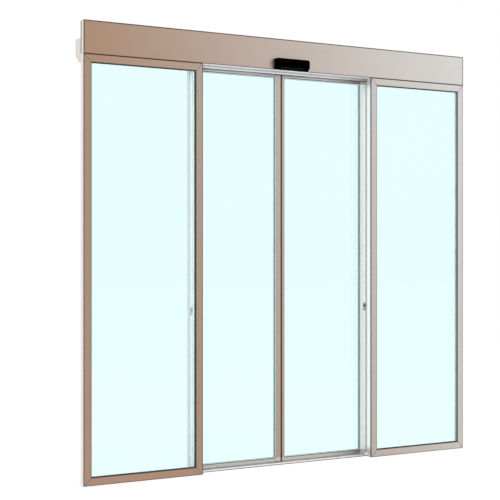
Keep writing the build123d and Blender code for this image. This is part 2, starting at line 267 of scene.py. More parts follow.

# %% [markdown]
# ## Where the finish changes
# The header and the frames have a satin champagne face with a painted reflection on it, which goes from a warm brown at
# the lower left to a pale grey at the upper right. The sides and undersides of the bars are painted pale, as painted
# light from the key lamp and from the floor, and every arris carries a thin dark line, where the dye takes more
# strongly.
# One colour could be left to the lamps to vary, but a satin metal only picks up its own tint from them. So one group
# turns the place on the set, and the way that a face looks, into masks for the materials. The places come from the
# solids. The line widths are half widths in metres, read off the picture: lines at the right and at the top are wider
# there.

# %% Places and widths
rail_low, rail_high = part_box("right_sidelite_bottom_rail")
top_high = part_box("right_sidelite_top_rail")[1]
header_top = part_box("header_cover")[1].z
cap_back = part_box("header_end_cap_left")[1].y
meeting_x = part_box("right_leaf_meeting_stile")[0].x
fin_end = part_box("right_sidelite_inner_stile")[1].y
leaf_foot, leaf_foot_edge = (corner.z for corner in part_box("right_leaf_bottom_rail"))
leaf_top_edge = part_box("right_leaf_top_rail")[0].z
BAR_FACE = rail_high.z - rail_low.z
TOP_LINE = 0.0055
JOINT_LINE = 0.003
FOOT_LINE = 0.0032
LEFT_RIM = 0.0024
RIGHT_RIM = 0.0048
INNER_LINE = 0.0018
NUDGE_RIGHT = 0.0016
NUDGE_UP = 0.0008
LEAF_LINE = 0.0035
MEETING_LINE = 0.0012
MEETING_REACH = 0.1
SIDE_LINE = 0.009
BACK_LINE = 0.003
FIN_LINE = 0.006
CAP_LINE = 0.0025
LINE_BLUR = 0.0006


def edge_distance(tree, along, up, low, high):
    """How far a point lies outside a rectangle in the front plane: nought on its edge, below nought inside."""
    gaps = []
    for value, near, far in ((along, low.x, high.x), (up, low.z, high.z)):
        offset = without_sign(tree, calculate(tree, "SUBTRACT", value, (near + far) / 2))
        gaps.append(calculate(tree, "SUBTRACT", offset, (far - near) / 2))
    return larger(tree, *gaps)


def line_along(tree, value, edge, width):
    """A mask that is one within a width of an edge, and nought further off."""
    offset = without_sign(tree, calculate(tree, "SUBTRACT", value, edge))
    return spread(tree, offset, width + LINE_BLUR, width)


print("frame bars are", round(BAR_FACE * 1000), "mm wide")

# %% [markdown]
# Fronts, sides, undersides and bevels are told apart by the way they look. Each pair below says where a kind of face
# starts to count and where it counts fully. Bevels that look to the left are a little lighter, because the key lamp
# stands there.

# %% Masks for the kinds of face
TONE_TILT = 0.14
FRONT_LOOK = (0.8, 0.92)
BEVEL_LOOK = (0.45, 0.6)
SIDE_LOOK = (0.45, 0.3)
UNDER_LOOK = (-0.6, -0.9)
LEFT_LOOK = (-0.3, -0.6)
LEFT_BEVEL = 0.82

finish_and_shade_masks, given, result = new_group(
    "finish_and_shade_masks", [], ["Across", "Front", "Side", "Under", "Bevel", "Line", "Back", "Corner", "Shade"])
spot = coordinates(finish_and_shade_masks, "Object")
looks = coordinates(finish_and_shade_masks, "Normal")
# Across runs from the lower left to the upper right of the set and drives the painted reflection on the champagne.
drop = times(finish_and_shade_masks, calculate(finish_and_shade_masks, "SUBTRACT", spot["Z"], cad_high.z), TONE_TILT)
across = calculate(finish_and_shade_masks, "ADD", spread(finish_and_shade_masks, spot["X"], -cad_high.x, cad_high.x), drop, clamp=True)
facing = without_sign(finish_and_shade_masks, looks["Y"])
front = spread(finish_and_shade_masks, facing, *FRONT_LOOK)
under = spread(finish_and_shade_masks, looks["Z"], *UNDER_LOOK)
side = calculate(finish_and_shade_masks, "SUBTRACT", spread(finish_and_shade_masks, facing, *SIDE_LOOK), under, clamp=True)
bevel = times(finish_and_shade_masks, spread(finish_and_shade_masks, facing, *BEVEL_LOOK), spread(finish_and_shade_masks, facing, *FRONT_LOOK[::-1]))
bevel = times(finish_and_shade_masks, bevel, spread(finish_and_shade_masks, looks["X"], *LEFT_LOOK, 1.0, LEFT_BEVEL))
print("kinds of face told apart")

# %% [markdown]
# The dark lines run along the rims of the header and the sidelites, around the glass, where the leaves meet, and along
# the front of the sides. Real grooves would need cuts into the solids, so they are drawn.

# %% Masks for the dark lines
reach = without_sign(finish_and_shade_masks, spot["X"])
nudged_reach = without_sign(finish_and_shade_masks, calculate(finish_and_shade_masks, "ADD", spot["X"], NUDGE_RIGHT))
nudged_height = calculate(finish_and_shade_masks, "ADD", spot["Z"], NUDGE_UP)
ring = edge_distance(finish_and_shade_masks, nudged_reach, nudged_height, rail_low, top_high)
line = spread(finish_and_shade_masks, ring, INNER_LINE - BAR_FACE, INNER_LINE - BAR_FACE - LINE_BLUR)
below_header = calculate(finish_and_shade_masks, "LESS_THAN", spot["Z"], top_high.z)
meeting_line, left_jamb, right_jamb = (
    times(finish_and_shade_masks, line_along(finish_and_shade_masks, value, edge, width), below_header)
    for value, edge, width in ((reach, meeting_x, MEETING_LINE), (spot["X"], -rail_low.x, RIGHT_RIM),
                               (spot["X"], rail_low.x, LEFT_RIM)))
stile_foot = times(finish_and_shade_masks, line_along(finish_and_shade_masks, spot["Z"], leaf_foot, LEAF_LINE),
                   calculate(finish_and_shade_masks, "LESS_THAN", reach, MEETING_REACH))
for rim in (meeting_line, stile_foot, left_jamb, right_jamb,
            line_along(finish_and_shade_masks, spot["X"], -rail_high.x, LEFT_RIM),
            line_along(finish_and_shade_masks, spot["X"], rail_high.x, RIGHT_RIM),
            line_along(finish_and_shade_masks, spot["Z"], rail_low.z, FOOT_LINE),
            line_along(finish_and_shade_masks, spot["Z"], top_high.z, JOINT_LINE),
            line_along(finish_and_shade_masks, spot["Z"], header_top, TOP_LINE)):
    line = larger(finish_and_shade_masks, line, rim)
side_line = larger(finish_and_shade_masks, line_along(finish_and_shade_masks, spot["Y"], rail_low.y, SIDE_LINE), meeting_line)
line = larger(finish_and_shade_masks, times(finish_and_shade_masks, line, front), times(finish_and_shade_masks, side_line, side))
print("lines drawn")

# %% [markdown]
# The rear edges of the sides, the corners of the right jamb and the right ends of the level bars in the doorway look
# grey in the picture, as they lie in shade. Darker lamps would dull the whole set, so this shade is painted on, through
# masks of their own.

# %% Masks for painted shade on edges and ends
CORNER_FADE = 0.028
SHADE_START = 0.31
SHADE_FULL = 0.5

right_half = calculate(finish_and_shade_masks, "GREATER_THAN", spot["X"], 0)
# Painted shade: a grey line along the rear edge of the sides and at the end of the right fin.
fin_line = times(finish_and_shade_masks, line_along(finish_and_shade_masks, spot["Y"], fin_end, FIN_LINE), right_half)
back = times(finish_and_shade_masks,
             spread(finish_and_shade_masks, spot["Y"], rail_high.y - BACK_LINE - LINE_BLUR, rail_high.y - BACK_LINE),
             spread(finish_and_shade_masks, spot["Y"], rail_high.y + 2 * LINE_BLUR, rail_high.y + LINE_BLUR))
back = times(finish_and_shade_masks, larger(finish_and_shade_masks, back, fin_line), side)
# Painted shade at the foot and the head of the right jamb's pale side.
corner = larger(finish_and_shade_masks, spread(finish_and_shade_masks, spot["Z"], leaf_foot_edge + CORNER_FADE, leaf_foot_edge),
                spread(finish_and_shade_masks, spot["Z"], leaf_top_edge - CORNER_FADE, leaf_top_edge))
corner = times(finish_and_shade_masks, corner, times(finish_and_shade_masks, below_header, right_half))
# Painted shade on the forward faces of the right ends of the level bars.
forward = spread(finish_and_shade_masks, looks["Y"], *(-share for share in FRONT_LOOK))
shade = times(finish_and_shade_masks, spread(finish_and_shade_masks, spot["X"], SHADE_START, SHADE_FULL), forward)
masks = {"Across": across, "Front": front, "Side": side, "Under": under, "Bevel": bevel, "Line": line, "Back": back,
         "Corner": corner, "Shade": shade}
for label, value in masks.items():
    finish_and_shade_masks.links.new(value, result[label])
print("group", finish_and_shade_masks.name, "with", len(masks), "masks")

# %% [markdown]
# ## Helpers for materials
# Every finish starts from the plain shader and gets a tone that varies a little, a roughness that varies with it, and a
# fine bump. A noise texture keeps mostly to the middle of its range, so that part is stretched over the wanted one.

# %% Helpers that build materials
NOISE_RANGE = (0.3, 0.7)


def new_material(name):
    material = bpy.data.materials.new(name)
    material.use_nodes = True
    return material, material.node_tree, material.node_tree.nodes["Principled BSDF"]


def use_group(tree, group, values=None):
    return add_node(tree, "ShaderNodeGroup", values, node_tree=group).outputs


def set_surface(tree, shader, colour, effect, variation, roughness, bump):
    """Link a colour to the shader, with the tone and the height of a surface effect."""
    value = spread(tree, effect["Tone"], *NOISE_RANGE, *variation)
    varied = add_node(tree, "ShaderNodeHueSaturation", {"Color": colour, "Value": value})
    tree.links.new(varied.outputs[0], shader.inputs["Base Color"])
    tree.links.new(spread(tree, effect["Tone"], *NOISE_RANGE, *roughness), shader.inputs["Roughness"])
    strength, distance = bump
    relief = add_node(tree, "ShaderNodeBump", {"Height": effect["Height"], "Strength": strength, "Distance": distance})
    tree.links.new(relief.outputs[0], shader.inputs["Normal"])


print("material helpers ready")

# %% [markdown]
# ## Champagne aluminium
# Header and frames are champagne, and a painted reflection takes their fronts from brown to grey here, so a ramp gives
# the tone from left to right. The masks lay painted light on the pale sides, painted shade on the rear edges and in the
# corners of the jamb, and dark arrises over it. Three separate materials for fronts, sides and bevels would need the
# solids split into faces, and one graph does it without that.

# %% Champagne on uprights and on level bars
CHAMPAGNE_SHEEN_TONES = (
    (0.0, tone(170, 139, 117)),
    (0.22, tone(178, 155, 139)),
    (0.55, tone(194, 183, 175)),
    (1.0, tone(213, 212, 209)),
)
# Painted light: the sides are pale where the key lamp falls on them, warmer at the left and near white at the right.
PALE_SIDE_LEFT = tone(226, 223, 218)
PALE_SIDE = tone(246, 255, 255)
PALE_SIDE_FROM = 0.25
# Painted shade on the rear edges and in the corners of the right jamb.
BACK_SHADE_TONE = tone(168, 160, 152)
CORNER_SHADE_SHARES = (0.62, 0.60, 0.57, 1.0)
BEVEL_DARKNESS = 0.15
SIDE_METALLIC, FRONT_METALLIC = 0.3, 0.8
METAL_VARIATION = (0.97, 1.03)
METAL_BUMP = (0.12, 0.0004)
SATIN = (0.3, 0.42)


def champagne_metal(name, line_scale):
    material, tree, shader = new_material(name)
    metal = use_group(tree, drawn_metal, {"Line Scale": line_scale})
    finish = use_group(tree, finish_and_shade_masks)
    # The ramp gives the champagne tone with a painted reflection: brown at the lower left, pale grey at the upper
    # right.
    ramp = add_node(tree, "ShaderNodeValToRGB", {"Fac": finish["Across"]})
    stops = ramp.color_ramp.elements
    stops[0].position, stops[0].color = CHAMPAGNE_SHEEN_TONES[0]
    stops[1].position, stops[1].color = CHAMPAGNE_SHEEN_TONES[-1]
    for position, colour in CHAMPAGNE_SHEEN_TONES[1:-1]:
        stops.new(position).color = colour
    champagne_with_sheen = ramp.outputs["Color"]
    # Painted light: pale sides and white undersides. Painted shade: the jamb corners and the rear edges.
    sides = blend_colours(tree, spread(tree, finish["Across"], 0.0, PALE_SIDE_FROM), PALE_SIDE_LEFT, PALE_SIDE)
    sides = blend_colours(tree, finish["Under"], sides, WHITE)
    sides = dim(tree, finish["Corner"], sides, CORNER_SHADE_SHARES)
    sides = blend_colours(tree, finish["Back"], sides, BACK_SHADE_TONE)
    coloured = blend_colours(tree, finish["Front"], sides, champagne_with_sheen)
    dark = add_node(tree, "ShaderNodeHueSaturation", {"Color": champagne_with_sheen, "Value": BEVEL_DARKNESS}).outputs[0]
    coloured = blend_colours(tree, larger(tree, finish["Bevel"], finish["Line"]), coloured, dark)
    set_surface(tree, shader, coloured, metal, METAL_VARIATION, SATIN, METAL_BUMP)
    tree.links.new(spread(tree, finish["Front"], 0, 1, SIDE_METALLIC, FRONT_METALLIC), shader.inputs["Metallic"])
    return material


champagne_up = champagne_metal("champagne_upright", LINES_UP)
champagne_across = champagne_metal("champagne_level", LINES_ACROSS)
print("champagne ready")

# %% [markdown]
# ## Plain metals
# The track, the outer stiles and rails of the leaves, the sill, the caps and the locks have one tone each, and the top
# rail is a lighter copy of the bottom rail's grey, as painted light. They share a builder that darkens the bevels.
# Where the picture shows it, the builder also gives sides or undersides a tone of their own, painted light or shade,
# draws a dark edge at one height, paints shade on the right end, or lines the front and rear edges of an end cap.

# %% Plain metals
SHADE_SHARES = (0.60, 0.54, 0.51, 1.0)
FINE_SATIN = (0.25, 0.38)
POLISHED = (0.2, 0.32)
PLATED = (0.3, 0.45)
BLASTED = (0.35, 0.5)


def plain_metal(name, colour, line_scale, roughness, *, metallic, bevel_darkness=BEVEL_DARKNESS, side_colour=None,
                under_colour=None, dark_edge=None, shaded=False, edged=False):
    material, tree, shader = new_material(name)
    metal = use_group(tree, drawn_metal, {"Line Scale": line_scale})
    finish = use_group(tree, finish_and_shade_masks)
    dark = tuple(level * bevel_darkness for level in colour[:3]) + (1.0,)
    lined = blend_colours(tree, finish["Side"], colour, side_colour or colour)
    lined = blend_colours(tree, finish["Under"], lined, under_colour or colour)
    # Painted shade on the right end.
    if shaded:
        lined = dim(tree, finish["Shade"], lined, SHADE_SHARES)
    arris = finish["Bevel"]
    if dark_edge is not None:
        height = coordinates(tree, "Object")["Z"]
        arris = larger(tree, arris, times(tree, line_along(tree, height, dark_edge, LEAF_LINE), finish["Front"]))
    if edged:
        depth = coordinates(tree, "Object")["Y"]
        rear = times(tree, line_along(tree, depth, cap_back, CAP_LINE), finish["Side"])
        arris = larger(tree, arris, larger(tree, finish["Line"], rear))
    lined = blend_colours(tree, arris, lined, dark)
    set_surface(tree, shader, lined, metal, METAL_VARIATION, roughness, METAL_BUMP)
    shader.inputs["Metallic"].default_value = metallic
    return material


# Painted shade: the pale uprights' sides are darker than their fronts.
pale_up = plain_metal("pale_upright", tone(246, 252, 252), LINES_UP, SATIN, metallic=0.2, bevel_darkness=0.25,
                      side_colour=tone(230, 223, 219), dark_edge=leaf_foot)
# Painted light: the track's undersides are white where the floor lights them; painted shade at its right end.
pale_across = plain_metal("pale_level", tone(216, 216, 223), LINES_ACROSS, SATIN, metallic=0.1, under_colour=WHITE,
                          shaded=True)
# Painted shade at the right end of the bottom rail.
grey_across = plain_metal("grey_level", tone(188, 184, 177), LINES_ACROSS, SATIN, metallic=0.6,
                          dark_edge=leaf_foot_edge, shaded=True)
# Painted light: the top rail is a lighter copy of the bottom rail's grey, against the shade under the track's lip.
lit_grey_across = plain_metal("lit_grey_level", tone(204, 199, 197), LINES_ACROSS, SATIN, metallic=0.5,
                           dark_edge=leaf_top_edge, shaded=True)
sill_metal = plain_metal("sill_metal", tone(253, 254, 254), LINES_ACROSS, FINE_SATIN, metallic=0.6,
                         bevel_darkness=0.85)
cap_metal = plain_metal("cap_metal", tone(221, 213, 207), LINES_UP, BLASTED, metallic=0.2, edged=True)
back_metal = plain_metal("back_metal", tone(150, 142, 135), LINES_ACROSS, BLASTED, metallic=0.4,
                         side_colour=tone(96, 88, 80))
lock_metal = plain_metal("lock_metal", tone(228, 226, 223), LINES_ROUND, POLISHED, metallic=0.7, bevel_darkness=0.45)
zinc = plain_metal("zinc_plate", tone(200, 203, 206), LINES_ROUND, PLATED, metallic=0.9)
print("plain metals ready")

# %% [markdown]
# ## Rubber and plastic
# The gaskets are soft rubber, the sensor and the rollers are moulded plastic. Both come out of a slightly rough mould,
# so they share one fine grain group.

# %% Moulded grain group and plain moulded materials
GRAIN_SCALE = 1200.0
SMUDGE_SCALE = 14.0
MOULDED_VARIATION = (0.85, 1.15)
MOULDED_BUMP = (0.15, 0.0003)
SOFT = (0.5, 0.7)
RUBBER_SHINE = 0.2

moulded_grain, given, result = new_group(
    "moulded_grain", [("Grain Scale", "NodeSocketFloat", GRAIN_SCALE)], ["Tone", "Height"])
place = add_node(moulded_grain, "ShaderNodeTexCoord").outputs["Object"]
grain = add_node(moulded_grain, "ShaderNodeTexNoise", {"Vector": place, "Scale": given["Grain Scale"], "Detail": 2.0})
smudge = add_node(moulded_grain, "ShaderNodeTexNoise", {"Vector": place, "Scale": SMUDGE_SCALE, "Detail": 3.0})
moulded_grain.links.new(smudge.outputs[0], result["Tone"])
moulded_grain.links.new(grain.outputs[0], result["Height"])


def moulded(name, colour, roughness=SOFT, shine=RUBBER_SHINE):
    material, tree, shader = new_material(name)
    skin = use_group(tree, moulded_grain)
    set_surface(tree, shader, colour, skin, MOULDED_VARIATION, roughness, MOULDED_BUMP)
    shader.inputs["Specular IOR Level"].default_value = shine
    return material


seal_rubber = moulded("seal_rubber", tone(100, 84, 73))
sensor_black = moulded("sensor_black", tone(1, 1, 2), roughness=(0.45, 0.6), shine=0.0)
roller_plastic = moulded("roller_plastic", tone(60, 60, 62), roughness=(0.3, 0.45), shine=0.5)
guide_plastic = moulded("guide_plastic", tone(205, 205, 203), roughness=(0.4, 0.55), shine=0.5)
print("group", moulded_grain.name, "and moulded materials")

# %% [markdown]
# The gaskets around the panes are dark in front of the pane. Their tone is painted by place, as painted light and
# shade:
# pale behind the pane, where light through the pane tints them, and lighter or darker left and right of the doorway,
# and level or upright.

# %% Gaskets
GASKET_VARIATION = (0.92, 1.08)
SIDEWAYS_LOOK = (0.5, 0.8)


def gasket(name, pane_middle, left_colour, right_colour, level_colour, behind_colour):
    material, tree, shader = new_material(name)
    skin = use_group(tree, moulded_grain)
    place = coordinates(tree, "Object")
    # Painted light and shade: the tone goes by side, by level or upright, and by front or behind the pane.
    upright = spread(tree, without_sign(tree, coordinates(tree, "Normal")["X"]), *SIDEWAYS_LOOK)
    to_right = spread(tree, place["X"], -rail_low.x, rail_low.x)
    behind = spread(tree, place["Y"], pane_middle - LINE_BLUR, pane_middle + LINE_BLUR)
    coloured = blend_colours(tree, to_right, left_colour, right_colour)
    coloured = blend_colours(tree, upright, level_colour, coloured)
    coloured = blend_colours(tree, behind, coloured, behind_colour)
    set_surface(tree, shader, coloured, skin, GASKET_VARIATION, SOFT, MOULDED_BUMP)
    shader.inputs["Specular IOR Level"].default_value = RUBBER_SHINE
    return material


leaf_gasket = gasket(
    "leaf_gasket", pane_middle=0.0, left_colour=tone(118, 154, 143), right_colour=tone(74, 86, 96),
    level_colour=tone(208, 230, 228), behind_colour=tone(140, 172, 168))
sidelite_gasket = gasket(
    "sidelite_gasket", pane_middle=(rail_low.y + rail_high.y) / 2, left_colour=tone(54, 64, 59),
    right_colour=tone(111, 139, 134), level_colour=tone(44, 51, 49), behind_colour=tone(244, 250, 250))
print("gaskets ready")

# %% [markdown]
# ## Glass
# The panes are clear with a faint cyan tint that shows against the white. A see-through mix would be quicker, but only
# real transmission tints what stands behind two panes twice. A slow ripple keeps the tint from being quite even.

# %% Tinted glass
GLASS_TINTS = ((0.790, 0.985, 0.995, 1), (0.800, 0.990, 1.0, 1))
GLASS_BEND = 1.45
RIPPLE_SCALE = 1.5

cyan_glass, tree, shader = new_material("cyan_glass")
place = add_node(tree, "ShaderNodeTexCoord").outputs["Object"]
ripple = add_node(tree, "ShaderNodeTexNoise", {"Vector": place, "Scale": RIPPLE_SCALE, "Detail": 1.0})
tree.links.new(blend_colours(tree, ripple.outputs[0], *GLASS_TINTS), shader.inputs["Base Color"])
shader.inputs["Roughness"].default_value = 0.0
shader.inputs["IOR"].default_value = GLASS_BEND
shader.inputs["Transmission Weight"].default_value = 1.0
print("glass ready")

# %% [markdown]
# ## Finishes on the solids
# Each solid takes the finish of its material slot. The bars that run across the set have their die lines across, and
# the uprights have them upwards. A pane throws no shadow here, because the studio is bright all round.

# %% Assign the finishes
FINISH_OF_SLOT = {
    "champagne_aluminium": (champagne_up, champagne_across),
    "pale_aluminium": (pale_up, pale_across),
    "tinted_glass": (cyan_glass, cyan_glass),
    "glazing_gasket": (sidelite_gasket, sidelite_gasket),
    "rubber_seal": (seal_rubber, seal_rubber),
    "lock_metal": (lock_metal, lock_metal),
    "hanger_steel": (zinc, zinc),
    "roller_plastic": (roller_plastic, roller_plastic),
    "guide_plastic": (guide_plastic, guide_plastic),
    "sensor_black": (sensor_black, sensor_black),
}
OWN_FINISH = {
    "leaf_top_rail": lit_grey_across,
    "leaf_bottom_rail": grey_across,
    "leaf_gasket": leaf_gasket,
    "header_back_plate": back_metal,
    "threshold": sill_metal,
    "end_cap_left": cap_metal,
    "end_cap_right": cap_metal,
}
slot_of_node = {part["node"]: part["material_slot"] for part in frame["record"]["subparts"]}
for name, node in frame["nodes"].items():
    upright, level = FINISH_OF_SLOT[slot_of_node[name]]
    low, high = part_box(name)
    finish = upright if high[2] - low[2] > high[0] - low[0] else level
    for ending, own in OWN_FINISH.items():
        if name.endswith(ending):
            finish = own
    node.data.materials.clear()
    node.data.materials.append(finish)
    node.visible_shadow = node.visible_diffuse = not name.endswith("_glass")
print("finished", len(slot_of_node), "solids")

# %% [markdown]
# ## Tools for the trim
# Small trim is modelled as by hand: a primitive is put at its size and place, then shaped in edit mode. Operators act
# on whatever is selected, so one helper clears the selection, and another picks faces, edges or points by where they
# are and which way they look. Copies get a mesh of their own, because each rides on its own part of the door set.

# %% Helpers that start and shape a piece
NEAR = 1e-5
FACE_NORMAL = 0.9


def settle(name):
    """Name the new piece, and put its origin, turn and scale back to nought."""
    piece = bpy.context.object
    piece.name = piece.data.name = name
    bpy.ops.object.transform_apply(location=True, rotation=True, scale=True)
    return piece


def start_block(name, low, high):
    bpy.ops.object.select_all(action="DESELECT")
    middle = (Vector(low) + Vector(high)) / 2
    bpy.ops.mesh.primitive_cube_add(size=1, location=middle, scale=Vector(high) - Vector(low))
    return settle(name)


def start_disc(name, middle, radius, thickness, turn, sides=28):
    bpy.ops.object.select_all(action="DESELECT")
    bpy.ops.mesh.primitive_cylinder_add(vertices=sides, radius=radius, depth=thickness, location=middle, rotation=turn)
    return settle(name)


def pick(piece, kind, test):
    """Go into edit mode with just those faces, edges or points selected that pass the test."""
    bpy.ops.object.mode_set(mode="EDIT")
    bpy.ops.mesh.select_mode(type=kind)
    bpy.ops.mesh.select_all(action="DESELECT")
    bpy.ops.object.mode_set(mode="OBJECT")
    mesh = piece.data
    if kind == "FACE":
        for face in mesh.polygons:
            face.select = test(face.center, face.normal)
    elif kind == "EDGE":
        for edge in mesh.edges:
            first, last = (mesh.vertices[index].co for index in edge.vertices)
            edge.select = test((first + last) / 2, (last - first).normalized())
    else:
        for point in mesh.vertices:
            point.select = test(point.co, point.normal)
    bpy.ops.object.mode_set(mode="EDIT")


def leave_edit():
    bpy.ops.object.mode_set(mode="OBJECT")


print("shaping helpers ready")


# %% Helpers that copy, join and hand over a piece
def copy_piece(piece, name, move=(0, 0, 0), turn=(0, 0, 0), mirrored=False):
    bpy.ops.object.select_all(action="DESELECT")
    piece.select_set(True)
    bpy.context.view_layer.objects.active = piece
    bpy.ops.object.duplicate(linked=False)
    copy = bpy.context.object
    copy.location = move
    copy.rotation_euler = turn
    if mirrored:
        copy.scale.x = -1
    settle(name)
    if mirrored:
        bpy.ops.object.mode_set(mode="EDIT")
        bpy.ops.mesh.select_all(action="SELECT")
        bpy.ops.mesh.normals_make_consistent(inside=False)
        leave_edit()
    return copy


def join_pieces(pieces, name):
    bpy.ops.object.select_all(action="DESELECT")
    for piece in pieces:
        piece.select_set(True)
    bpy.context.view_layer.objects.active = pieces[0]
    bpy.ops.object.join()
    joined = bpy.context.object
    joined.name = joined.data.name = name
    return joined


def hand_over(piece, body, material):
    piece.data.materials.clear()
    piece.data.materials.append(material)
    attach(piece, body)
    print(piece.name, "has", len(piece.data.polygons), "faces and rides on", body)


print("copying helpers ready")

# %% [markdown]
# ## Corner seams
# The bars of each sidelite meet in mitres, and a hair of dark filler shows in every mitre. A groove would need a cut
# into the bars, which stay as they are, so the seam is a flat bead with pointed ends, half sunk into the face.

# %% One seam
SEAM_LENGTH = 0.0515
SEAM_WIDTH = 0.0022
SEAM_THICKNESS = 0.0006
SEAM_POINT = 0.0009
SEAM_INSET = SEAM_WIDTH / 5
SEAM_SWELL = 1.3
seam_filler = moulded("seam_filler", tone(104, 84, 71))

half_seam = Vector((SEAM_LENGTH, SEAM_THICKNESS, SEAM_WIDTH)) / 2
seam = start_block("corner_seam", -half_seam, half_seam)
pick(seam, "EDGE", lambda middle, along: abs(along.y) > FACE_NORMAL)
bpy.ops.mesh.bevel(offset=SEAM_POINT, segments=2)
pick(seam, "FACE", lambda middle, normal: abs(normal.y) > FACE_NORMAL)
bpy.ops.mesh.inset(thickness=SEAM_INSET, use_individual=True)
bpy.ops.transform.resize(value=(1, SEAM_SWELL, 1), center_override=(0, 0, 0))
leave_edit()
print("seam of", len(seam.data.polygons), "faces")

# %% [markdown]
# All mitres are alike, so the one seam is copied to the four corners on front and back, turned to the slope of each
# mitre, and joined into one piece for each sidelite.

# %% Seams on every corner
MITRE = math.radians(45)
for side, sign in (("left", -1), ("right", 1)):
    seams = []
    for x_edge, x_inward in ((rail_low.x, 1), (rail_high.x, -1)):
        for z_edge, z_inward in ((rail_low.z, 1), (top_high.z, -1)):
            middle_x = sign * (x_edge + x_inward * BAR_FACE / 2)
            slope = -MITRE * sign * x_inward * z_inward
            for plane in (rail_low.y, rail_high.y):
                place = (middle_x, plane, z_edge + z_inward * BAR_FACE / 2)
                seams.append(copy_piece(seam, "seam", place, (0, slope, 0)))
    seams = join_pieces(seams, side + "_corner_seams")
    hand_over(seams, "frame", seam_filler)
bpy.data.objects.remove(seam)

# %% [markdown]
# ## Glazing tape
# Each fixed pane lies on a dark tape that shows as a hairline inside the gasket. The tape is one closed frame, so it
# starts as a thin plate of the size of the visible glass. Both faces are inset by the width of the tape, and a bridge
# between the two inner faces opens the middle.

# %% Tape on the fixed panes
GASKET_SHOW = 0.002
TAPE_WIDTH = 0.0016
TAPE_THICKNESS = 0.0004
tape_dark = moulded("tape_dark", tone(48, 57, 54))

tape_edge = BAR_FACE + GASKET_SHOW
pane_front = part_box("right_sidelite_glass")[0].y
tape = start_block(
    "right_glazing_tape", (rail_low.x + tape_edge, pane_front - TAPE_THICKNESS, rail_low.z + tape_edge),
    (rail_high.x - tape_edge, pane_front, top_high.z - tape_edge))
pick(tape, "FACE", lambda middle, normal: abs(normal.y) > FACE_NORMAL)
bpy.ops.mesh.inset(thickness=TAPE_WIDTH, use_individual=True)
bpy.ops.mesh.bridge_edge_loops()
leave_edit()
left_tape = copy_piece(tape, "left_glazing_tape", mirrored=True)
hand_over(tape, "frame", tape_dark)
hand_over(left_tape, "frame", tape_dark)

# %% [markdown]
# ## Soffit seal
# Under the track, where the shelf meets its lip, runs a soft grey strip that keeps draughts out. It is a long block
# with one edge rounded over: a bevel on just that edge is quicker than a swept curve and keeps the strip solid.

# %% The strip in the corner of the soffit
SEAL_DEPTH = 0.005
SEAL_HEIGHT = 0.004
SEAL_ROUND = 0.002
SEAL_END_GAP = 0.006
LIP_FRONT = -0.0395
grey_rubber = moulded("grey_rubber", tone(150, 160, 161))

soffit = top_high.z
track_low, track_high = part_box("track_housing")
seal = start_block("soffit_seal", (track_low.x + SEAL_END_GAP, LIP_FRONT - SEAL_DEPTH, soffit - SEAL_HEIGHT),
                   (track_high.x - SEAL_END_GAP, LIP_FRONT, soffit))
pick(seal, "EDGE", lambda middle, along: abs(along.x) > FACE_NORMAL and middle.z < soffit - SEAL_HEIGHT + NEAR
     and middle.y < LIP_FRONT - SEAL_DEPTH + NEAR)
bpy.ops.mesh.bevel(offset=SEAL_ROUND, segments=4)
leave_edit()
hand_over(seal, "frame", grey_rubber)

# %% [markdown]
# ## Brush strips
# A row of stiff bristles closes the gap under each leaf, another stands on the edge of each draught fin behind the
# sidelites, and a third hangs from the lip of the track. Thousands of separate hairs would show as one grey line from
# here, so a strip is a block that is cut across many times, and every second cut of its free edge is drawn back, which
# leaves the tufts. Each leaf carries two strips, in front of the guide's groove and behind it.

# %% Brush under the leaves
TUFT = 0.003
PILE_DRAW = 0.0014
BRUSH_GAP = 0.0008
BRUSH_THICKNESS = 0.004
GROOVE_HALF = 0.0075
PILE = (0.6, 0.8)
PILE_SHINE = 0.1
brush_pile = moulded("brush_pile", tone(165, 167, 162), PILE, PILE_SHINE)


def cut_tufts(piece, axis, free_test, draw):
    """Cut a block across its length and draw back every second cut of its free edge."""
    spots = [point.co[axis] for point in piece.data.vertices]
    low, high = min(spots), max(spots)
    cuts = int((high - low) / TUFT)
    pick(piece, "EDGE", lambda middle, along: abs(along[axis]) > FACE_NORMAL)
    bpy.ops.mesh.subdivide(number_cuts=cuts)
    step = (high - low) / (cuts + 1)
    pick(piece, "VERT", lambda spot, normal: free_test(spot) and round((spot[axis] - low) / step) % 2 == 1)
    bpy.ops.transform.translate(value=draw)
    leave_edit()


sill_low, sill_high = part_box("threshold")
leaf_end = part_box("right_leaf_outer_stile")[1].x
brush_foot = sill_high.z + BRUSH_GAP
brush = start_block("brush", (meeting_x, -GROOVE_HALF - BRUSH_THICKNESS, brush_foot),
                    (leaf_end, -GROOVE_HALF, leaf_foot))
cut_tufts(brush, 0, lambda spot: spot.z < brush_foot + NEAR, (0, 0, PILE_DRAW))
behind = copy_piece(brush, "brush_behind", (0, 2 * GROOVE_HALF + BRUSH_THICKNESS, 0))
right_brush = join_pieces([brush, behind], "right_leaf_bottom_brush")
left_brush = copy_piece(right_brush, "left_leaf_bottom_brush", mirrored=True)
hand_over(right_brush, "right_leaf", brush_pile)
hand_over(left_brush, "left_leaf", brush_pile)

# %% [markdown]
# The draught fins stand in front of the leaves, so their brushes point back and stop short of the locks. Both are one
# brush, but the left one is seen through glass and is painted paler, as painted light.

# %% Brush on the draught fins
FIN_MIDDLE = 0.56525
FIN_BRUSH_HALF = 0.0009
FIN_BRUSH_REACH = 0.0055
FIN_DRAW = 0.0005
grey_pile = moulded("grey_pile", tone(138, 149, 150), PILE, PILE_SHINE)
lit_pale_pile = moulded("lit_pale_pile", tone(238, 241, 241), PILE, PILE_SHINE)

